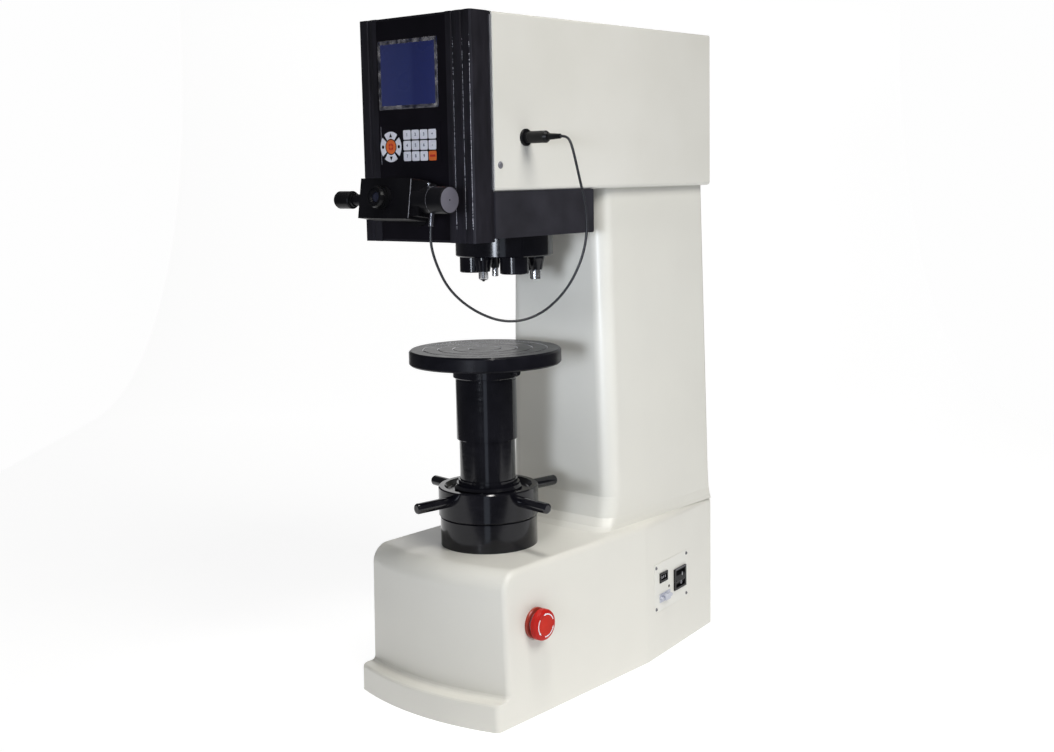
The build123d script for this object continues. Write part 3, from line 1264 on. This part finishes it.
EYE_FRONT = EYE_BOX_BACK + EYE_BOX_DEPTH
EYEPIECE_R = 13.8
EYEPIECE_CORE_R = 10.5
EYEPIECE_SHOULDER = EYE_FRONT + 3.0
EYEPIECE_END = EYE_FRONT + 15.5
PUPIL_R = 6.0
KNOB_NECK_R = 7.0
KNOB_START = EYE_BOX_HALF_WIDTH + 23.8
MICROMETER_AT = eye_point(0, 0, DRUM_AXIS_DEPTH)
BOX_EDGE = 1.2
with BuildPart() as microscope_box:
    with BuildSketch(Plane(eye_point(0, 0, EYE_BOX_BACK), x_dir=(1, 0, 0), z_dir=EYE_OUT)):
        Rectangle(2 * EYE_BOX_HALF_WIDTH, 2 * EYE_BOX_HALF_HEIGHT)
    extrude(amount=EYE_BOX_DEPTH)
    chamfer(microscope_box.edges().filter_by(Plane.YZ), BOX_EDGE)
    turn(rod(EYE_TUBE_R, SLEEVE_LENGTH[0] - 3.0, EYE_BOX_BACK + 1.0), EYE_ORIGIN, EYE_OUT)
    turn(
        [
            (0, EYE_FRONT - 1.0),
            (EYEPIECE_R, EYE_FRONT - 1.0),
            (EYEPIECE_R, EYEPIECE_SHOULDER),
            (EYEPIECE_CORE_R, EYEPIECE_SHOULDER),
            (EYEPIECE_CORE_R, EYEPIECE_END),
            (0, EYEPIECE_END),
        ],
        EYE_ORIGIN,
        EYE_OUT,
    )
    # exit pupil
    turn(
        [
            (0, EYEPIECE_END - 2.5),
            (PUPIL_R, EYEPIECE_END - 2.5),
            (PUPIL_R + 1.5, EYEPIECE_END + 0.1),
            (0, EYEPIECE_END + 0.1),
        ],
        EYE_ORIGIN,
        EYE_OUT,
        mode=Mode.SUBTRACT,
    )
    turn(rod(KNOB_NECK_R, EYE_BOX_HALF_WIDTH - 1.0, KNOB_START), MICROMETER_AT, (-1, 0, 0), EYE_UP)
microscope_box.part.label = "microscope_box"
export_step(microscope_box.part, "parts/microscope_box.step")

with BuildPart() as dioptre_ring:
    turn(
        [
            (EYEPIECE_CORE_R + FIT, EYEPIECE_SHOULDER + SEAT_GAP),
            (EYEPIECE_R, EYEPIECE_SHOULDER + SEAT_GAP),
            (EYEPIECE_R, EYEPIECE_SHOULDER + 3.5),
            (EYEPIECE_R - 0.8, EYEPIECE_SHOULDER + 3.5),
            (EYEPIECE_R - 0.8, EYEPIECE_SHOULDER + 5.5),
            (EYEPIECE_R - 0.3, EYEPIECE_SHOULDER + 5.5),
            (EYEPIECE_R - 0.3, EYEPIECE_SHOULDER + 9.0),
            (EYEPIECE_R - 1.8, EYEPIECE_END + 1.0),
            (EYEPIECE_CORE_R + FIT, EYEPIECE_END + 1.0),
        ],
        EYE_ORIGIN,
        EYE_OUT,
    )
dioptre_ring.part.label = "dioptre_ring"
export_step(dioptre_ring.part, "parts/dioptre_ring.step")

ENCODER_END = EYE_BOX_HALF_WIDTH + ENCODER_LENGTH
CLAMP_LENGTH = 13.0
CLAMP_HALF_HEIGHT = 20.5
CLAMP_HALF_DEPTH = 13.5
DRUM_SHAFT_R = 5.0
DRUM_SHAFT_DEPTH = 14.0
with BuildPart() as encoder_housing:
    turn(rod(DRUM_R, EYE_BOX_HALF_WIDTH, ENCODER_END), MICROMETER_AT, (1, 0, 0), EYE_UP)
    with BuildSketch(Plane(eye_point(EYE_BOX_HALF_WIDTH, 0, DRUM_AXIS_DEPTH), x_dir=EYE_UP, z_dir=(1, 0, 0))):
        Rectangle(2 * CLAMP_HALF_HEIGHT, 2 * CLAMP_HALF_DEPTH)
    extrude(amount=CLAMP_LENGTH)
    turn(
        rod(DRUM_SHAFT_R + FIT, ENCODER_END - DRUM_SHAFT_DEPTH - 1.0, ENCODER_END + 1.0),
        MICROMETER_AT,
        (1, 0, 0),
        EYE_UP,
        Mode.SUBTRACT,
    )
encoder_housing.part.label = "encoder_housing"
export_step(encoder_housing.part, "parts/encoder_housing.step")

with BuildPart() as measuring_drum:
    turn(
        [
            (0, ENCODER_END - DRUM_SHAFT_DEPTH),
            (DRUM_SHAFT_R, ENCODER_END - DRUM_SHAFT_DEPTH),
            (DRUM_SHAFT_R, ENCODER_END + SEAT_GAP),
            (DRUM_R, ENCODER_END + SEAT_GAP),
            (DRUM_R, ENCODER_END + DRUM_LENGTH),
            (DRUM_R - 1.0, ENCODER_END + DRUM_LENGTH + 1.0),
            (0, ENCODER_END + DRUM_LENGTH + 1.0),
        ],
        MICROMETER_AT,
        (1, 0, 0),
        EYE_UP,
    )
measuring_drum.part.label = "measuring_drum"
export_step(measuring_drum.part, "parts/measuring_drum.step")

KNOB_R = 11.1
KNOB_COLLAR = 4.0
KNOB_END = KNOB_START + 31.0
with BuildPart() as left_knob:
    turn(
        [
            (0, KNOB_START),
            (KNOB_NECK_R + 1.5, KNOB_START),
            (KNOB_NECK_R + 1.5, KNOB_START + KNOB_COLLAR),
            (KNOB_R - 1.5, KNOB_START + KNOB_COLLAR),
            (KNOB_R, KNOB_START + KNOB_COLLAR + 1.5),
            (KNOB_R, KNOB_END - 3.5),
            (KNOB_R - 1.2, KNOB_END - 1.2),
            (KNOB_R - 3.5, KNOB_END),
            (0, KNOB_END),
        ],
        MICROMETER_AT,
        (-1, 0, 0),
        EYE_UP,
    )
left_knob.part.label = "left_knob"
export_step(left_knob.part, "parts/left_knob.step")

GLAND_X = ENCODER_END - 3.7
GLAND_R = 3.2
GLAND_REACH = 31.0
with BuildPart() as lead_gland:
    turn(
        rod(GLAND_R, sqrt(DRUM_R**2 - GLAND_R**2) - 0.1, GLAND_REACH),
        eye_point(GLAND_X, 0, DRUM_AXIS_DEPTH),
        tuple(-value for value in EYE_UP),
    )
    turn(
        rod(DRUM_R, EYE_BOX_HALF_WIDTH, ENCODER_END), MICROMETER_AT, (1, 0, 0), EYE_UP, Mode.SUBTRACT
    )
lead_gland.part.label = "lead_gland"
export_step(lead_gland.part, "parts/lead_gland.step")


# ------------------------------------------------------------------ socket, plug and lead
SOCKET_DEPTH = 12.0
SOCKET_FLANGE_R = SOCKET_BODY_R + 2.6
SOCKET_FACE_X = HEAD_HALF_WIDTH + 2.7
PLUG_END_X = SOCKET_FACE_X + 34.5
BOOT_END_X = PLUG_END_X + 18.5
SOCKET_AXIS = (0, SOCKET_Y, SOCKET_Z)
with BuildPart() as head_socket:
    turn(
        [
            (0, HEAD_HALF_WIDTH - SOCKET_DEPTH),
            (SOCKET_BODY_R, HEAD_HALF_WIDTH - SOCKET_DEPTH),
            (SOCKET_BODY_R, HEAD_HALF_WIDTH),
            (SOCKET_FLANGE_R, HEAD_HALF_WIDTH),
            (SOCKET_FLANGE_R, SOCKET_FACE_X - 0.8),
            (SOCKET_FLANGE_R - 0.8, SOCKET_FACE_X),
            (0, SOCKET_FACE_X),
        ],
        SOCKET_AXIS,
        (1, 0, 0),
        (0, 0, 1),
    )
head_socket.part.label = "head_socket"
export_step(head_socket.part, "parts/head_socket.step")

PLUG_R = 7.5
with BuildPart() as lead_plug:
    turn(
        [
            (0, SOCKET_FACE_X),
            (PLUG_R - 0.8, SOCKET_FACE_X),
            (PLUG_R - 0.8, SOCKET_FACE_X + 5.0),
            (PLUG_R, SOCKET_FACE_X + 6.0),
            (PLUG_R, PLUG_END_X - 4.0),
            (PLUG_R - 2.5, PLUG_END_X),
            (0, PLUG_END_X),
        ],
        SOCKET_AXIS,
        (1, 0, 0),
        (0, 0, 1),
    )
lead_plug.part.label = "lead_plug"
export_step(lead_plug.part, "parts/lead_plug.step")

BOOT_R = 4.2
with BuildPart() as plug_boot:
    turn(
        [
            (0, PLUG_END_X),
            (BOOT_R, PLUG_END_X),
            (BOOT_R * 0.7, BOOT_END_X),
            (0, BOOT_END_X),
        ],
        SOCKET_AXIS,
        (1, 0, 0),
        (0, 0, 1),
    )
plug_boot.part.label = "plug_boot"
export_step(plug_boot.part, "parts/plug_boot.step")

LEAD_END = eye_point(GLAND_X, -GLAND_REACH, DRUM_AXIS_DEPTH)
LEAD_POINTS = [
    (BOOT_END_X, SOCKET_Y, SOCKET_Z),
    (160.0, -143.1, 726.9),
    (166.9, -143.0, 721.0),
    (169.9, -140.0, 705.5),
    (171.3, -132.5, 677.5),
    (172.2, -120.5, 640.5),
    (170.5, -118.0, 603.0),
    (162.5, -124.0, 568.0),
    (148.5, -138.5, 534.5),
    (128.0, -163.5, 508.5),
    (106.0, -196.5, 502.5),
    (88.0, -232.0, 518.0),
    (75.5, -263.0, 545.5),
    (69.0, -278.0, 578.5),
    eye_point(GLAND_X, -GLAND_REACH - 17.0, DRUM_AXIS_DEPTH),
    LEAD_END,
]


def bend_radii(points):
    """Largest bends that leave a straight stretch in every run, at 0.45 of the shorter one."""
    radii = []
    for before, corner, after in zip(points, points[1:], points[2:]):
        arriving = Vector(*corner) - Vector(*before)
        leaving = Vector(*after) - Vector(*corner)
        half_turn = radians(arriving.get_angle(leaving)) / 2
        radii.append(0.45 * min(arriving.length, leaving.length) / tan(half_turn))
    return radii


LEAD_RADII = bend_radii(LEAD_POINTS)
print("lead bends", [round(radius, 1) for radius in LEAD_RADII])
with BuildPart() as microscope_lead:
    with BuildLine() as lead_path:
        FilletPolyline(*LEAD_POINTS, radius=LEAD_RADII)
    with BuildSketch(Plane(LEAD_POINTS[0], z_dir=(1, 0, 0))):
        Circle(LEAD_R)
    sweep(path=lead_path.line)
print("lead length", round(sum(edge.length for edge in lead_path.edges()), 1))
microscope_lead.part.label = "microscope_lead"
export_step(microscope_lead.part, "parts/microscope_lead.step")


# ------------------------------------------------------------------ emergency stop
STOP_AXIS = (STOP_FACE_X, STOP_Y, STOP_Z)
STOP_OUT = (1, 0, 0)
UP = (0, 0, 1)
COLLAR_FLANGE = 3.3
BEZEL_END = 9.3
BEZEL_R = 14.5
BARREL_R = 11.2
BARREL_DEPTH = 20.0
STOP_SHAFT_R = 10.0
BUTTON_CEILING = BEZEL_END + STOP_TRAVEL + 0.5
BUTTON_SKIRT = COLLAR_FLANGE + STOP_TRAVEL + 0.5
BUTTON_FACE = 18.2
with BuildPart() as stop_collar:
    turn(
        [
            (BARREL_R + FIT, 0),
            (STOP_R, 0),
            (STOP_R, COLLAR_FLANGE - 0.8),
            (STOP_R - 0.8, COLLAR_FLANGE),
            (BARREL_R + FIT, COLLAR_FLANGE),
        ],
        STOP_AXIS,
        STOP_OUT,
        UP,
    )
stop_collar.part.label = "stop_collar"
export_step(stop_collar.part, "parts/stop_collar.step")

with BuildPart() as stop_bezel:
    turn(
        [
            (STOP_SHAFT_R + FIT, -BARREL_DEPTH),
            (BARREL_R, -BARREL_DEPTH),
            (BARREL_R, COLLAR_FLANGE),
            (BEZEL_R, COLLAR_FLANGE),
            (BEZEL_R, BEZEL_END - 1.0),
            (BEZEL_R - 1.0, BEZEL_END),
            (STOP_SHAFT_R + FIT, BEZEL_END),
        ],
        STOP_AXIS,
        STOP_OUT,
        UP,
    )
stop_bezel.part.label = "stop_bezel"
export_step(stop_bezel.part, "parts/stop_bezel.step")

CONTACTS_HALF = 15.0
CONTACTS_DEPTH = 30.0
SHAFT_DEPTH = 16.0
with BuildPart() as stop_contacts:
    block(
        (STOP_FACE_X - BARREL_DEPTH - CONTACTS_DEPTH, STOP_FACE_X - BARREL_DEPTH),
        (STOP_Y - CONTACTS_HALF, STOP_Y + CONTACTS_HALF),
        (STOP_Z - CONTACTS_HALF, STOP_Z + CONTACTS_HALF),
    )
stop_contacts.part.label = "stop_contacts"
export_step(stop_contacts.part, "parts/stop_contacts.step")

with BuildPart() as stop_plunger:
    turn(rod(STOP_SHAFT_R, SEAT_GAP - SHAFT_DEPTH, BUTTON_CEILING), STOP_AXIS, STOP_OUT, UP)
stop_plunger.part.label = "stop_plunger"
export_step(stop_plunger.part, "parts/stop_plunger.step")

with BuildPart() as stop_button:
    turn(
        [
            (0, BUTTON_CEILING),
            (BEZEL_R + 1.0, BUTTON_CEILING),
            (BEZEL_R + 1.0, BUTTON_SKIRT),
            (STOP_R - 1.5, BUTTON_SKIRT),
            (STOP_R, BUTTON_SKIRT + 1.5),
            (STOP_R, BUTTON_FACE - 3.5),
            (STOP_R - 1.2, BUTTON_FACE - 1.2),
            (STOP_R - 3.5, BUTTON_FACE),
            (0, BUTTON_FACE),
        ],
        STOP_AXIS,
        STOP_OUT,
        UP,
    )
stop_button.part.label = "stop_button"
export_step(stop_button.part, "parts/stop_button.step")


# ------------------------------------------------------------------ power panel
def wall_block(middle, size, low, high, mode=Mode.ADD):
    """Block on the tapered wall, between two distances out from the wall's face."""
    with BuildSketch(POWER_PLANE.offset(low)) as footprint:
        with Locations(middle):
            Rectangle(*size)
    extrude(footprint.sketch, amount=high - low, mode=mode)


def grown(size, margin):
    """A size with a margin on every side."""
    return (size[0] + 2 * margin, size[1] + 2 * margin)


ROCKER_BODY = grown(ROCKER_FRAME, -2.0)
ROCKER_DEPTH = 26.0
ROCKER_HOLE = (27.6, 25.2)
ROCKER_SIZE = (27.0, 22.0)
ROCKER_FACE = PANEL_PLATE_FACE + 2.2
PIVOT_DEPTH = -4.0
PIVOT_R = 1.5
PIVOT_REACH = 1.2
ROCKER_TILT = 8.0
PIVOT_AT = tuple(POWER_PLANE.from_local_coords((ROCKER_AT[0], ROCKER_AT[1], PIVOT_DEPTH)))
with BuildPart() as power_plate:
    wall_block((0, 0), POWER_SIZE, -POWER_SEAT, PANEL_PLATE_FACE)
    wall_block(ROCKER_AT, grown(ROCKER_BODY, 0.1), -POWER_SEAT - 1, PANEL_PLATE_FACE + 1, Mode.SUBTRACT)
    wall_block(INLET_AT, grown(INLET_SIZE, -1.4), -POWER_SEAT - 1, PANEL_PLATE_FACE + 1, Mode.SUBTRACT)
    wall_block(PORT_AT, grown(PORT_SIZE, -2.4), -POWER_SEAT - 1, PANEL_PLATE_FACE + 1, Mode.SUBTRACT)
power_plate.part.label = "power_plate"
export_step(power_plate.part, "parts/power_plate.step")

with BuildPart() as rocker_frame:
    wall_block(ROCKER_AT, ROCKER_FRAME, PANEL_PLATE_FACE, ROCKER_FACE)
    wall_block(ROCKER_AT, ROCKER_BODY, -ROCKER_DEPTH, PANEL_PLATE_FACE)
    wall_block(ROCKER_AT, ROCKER_HOLE, -16.0, ROCKER_FACE + 1, Mode.SUBTRACT)
    turn(
        rod(PIVOT_R + FIT, -ROCKER_SIZE[0] / 2 - PIVOT_REACH - 0.2, ROCKER_SIZE[0] / 2 + PIVOT_REACH + 0.2),
        PIVOT_AT,
        POWER_WALL,
        (0, 0, 1),
        Mode.SUBTRACT,
    )
rocker_frame.part.label = "rocker_frame"
export_step(rocker_frame.part, "parts/rocker_frame.step")

with BuildPart() as power_rocker:
    tilted_up = Vector(0, 0, 1).rotate(Axis((0, 0, 0), POWER_WALL), -ROCKER_TILT)
    with BuildSketch(
        Plane(
            origin=tuple(PIVOT_AT[index] - POWER_WALL[index] * ROCKER_SIZE[0] / 2 for index in range(3)),
            x_dir=tilted_up,
            z_dir=POWER_WALL,
        )
    ):
        half = ROCKER_SIZE[1] / 2
        with BuildLine():
            Polyline(
                (-half, -9.5),
                (0, -7.0),
                (half, -9.5),
                (half, 1.5),
                (4.0, 6.5),
                (-4.0, 6.5),
                (-half, 1.5),
                close=True,
            )
        make_face()
    extrude(amount=ROCKER_SIZE[0])
    turn(
        rod(PIVOT_R, -ROCKER_SIZE[0] / 2 - PIVOT_REACH, ROCKER_SIZE[0] / 2 + PIVOT_REACH),
        PIVOT_AT,
        POWER_WALL,
        (0, 0, 1),
    )
power_rocker.part.label = "power_rocker"
export_step(power_rocker.part, "parts/power_rocker.step")

with BuildPart() as signal_socket:
    wall_block(INLET_AT, INLET_SIZE, PANEL_PLATE_FACE, PANEL_PLATE_FACE + 1.5)
    wall_block(INLET_AT, grown(INLET_SIZE, -1.5), -18.0, PANEL_PLATE_FACE)
    wall_block(INLET_AT, grown(INLET_SIZE, -3.0), -9.0, PANEL_PLATE_FACE + 2, Mode.SUBTRACT)
signal_socket.part.label = "signal_socket"
export_step(signal_socket.part, "parts/signal_socket.step")

PORT_SCREW_SPAN = 12.5
with BuildPart() as serial_port:
    wall_block(PORT_AT, PORT_SIZE, PANEL_PLATE_FACE, PANEL_PLATE_FACE + 1.0)
    wall_block(PORT_AT, grown(PORT_SIZE, -2.6), -14.0, PANEL_PLATE_FACE)
    with BuildSketch(POWER_PLANE.offset(PANEL_PLATE_FACE + 1.0)):
        with Locations(PORT_AT):
            Trapezoid(17.0, 8.4, 80, rotation=180)
    extrude(amount=5.0)
    fillet(serial_port.edges().filter_by(Axis(POWER_PLANE.origin, POWER_NORMAL))[-4:], 1.2)
    for side in (-1, 1):
        turn(
            rod(2.4, PANEL_PLATE_FACE + 1.0, PANEL_PLATE_FACE + 5.0),
            on_power_wall(PORT_AT[0] + side * PORT_SCREW_SPAN, PORT_AT[1]),
            POWER_NORMAL,
            (0, 0, 1),
        )
serial_port.part.label = "serial_port"
export_step(serial_port.part, "parts/serial_port.step")
